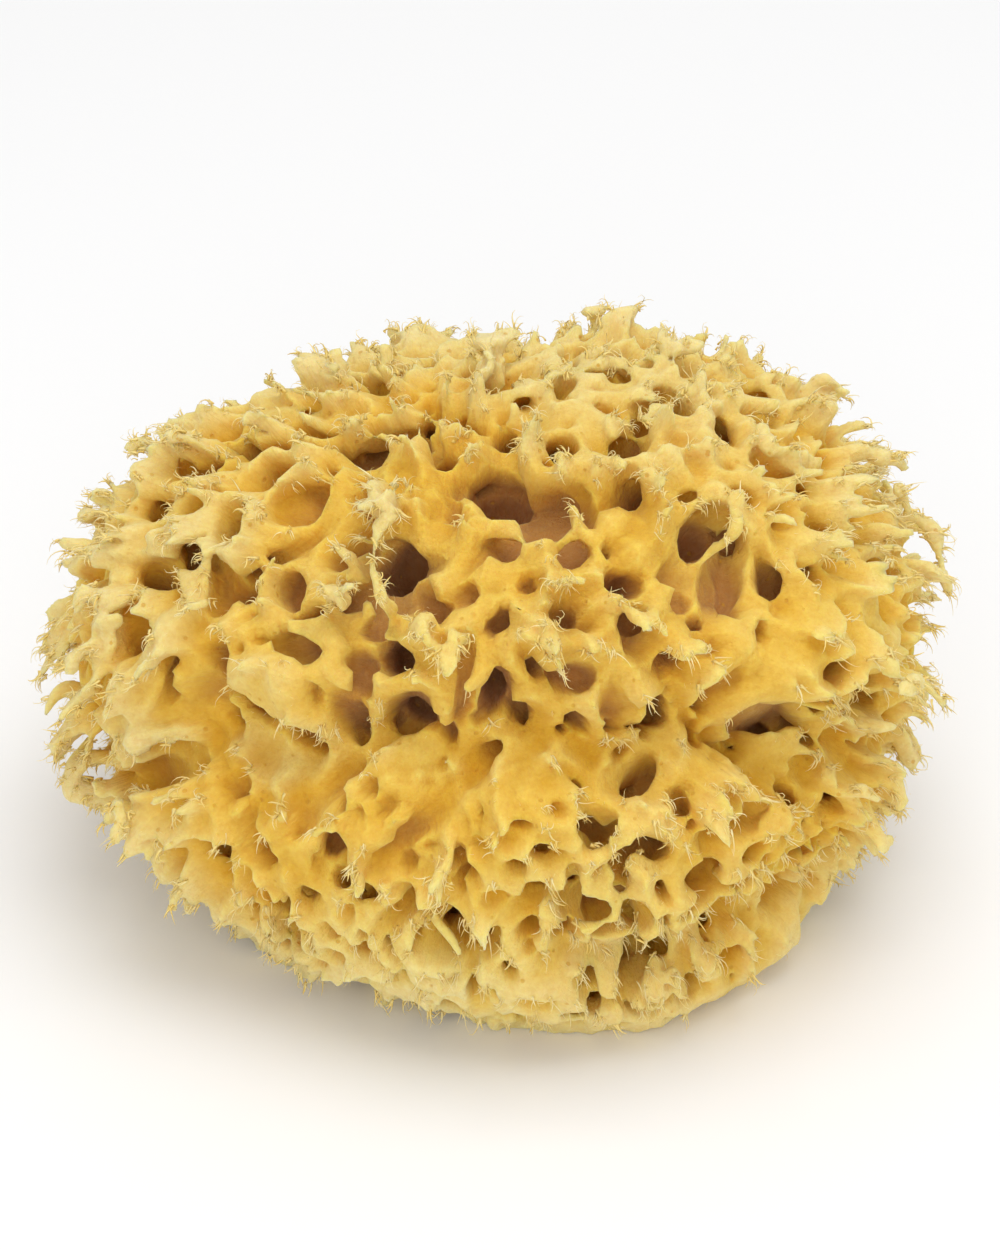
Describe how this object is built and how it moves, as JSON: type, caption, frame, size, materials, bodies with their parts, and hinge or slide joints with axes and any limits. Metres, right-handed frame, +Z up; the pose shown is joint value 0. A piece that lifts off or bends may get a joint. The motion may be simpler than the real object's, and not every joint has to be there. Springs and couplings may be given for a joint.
{
  "type": "sea sponge",
  "caption": "Honeycomb bath sponge: the springy dried skeleton of a sea sponge, an oval dome full of round canals and tufts, cut flat at its root so that it stands.",
  "frame": {"origin": "on the flat cut at the root, under the middle of the outline", "axes": "+X along the long side, towards the fuller shoulder; -Y is the front with the furrow; +Z up through the crown"},
  "size_m": [0.1518, 0.1256, 0.0938],
  "materials": {
    "sponge_fibre": "dry springy natural fibre, honey yellow, paler at the tips and amber in the canals, dull and faintly fuzzy"
  },
  "bodies": {
    "root": {"sponge": "sponge_fibre"}
  },
  "joints": []
}
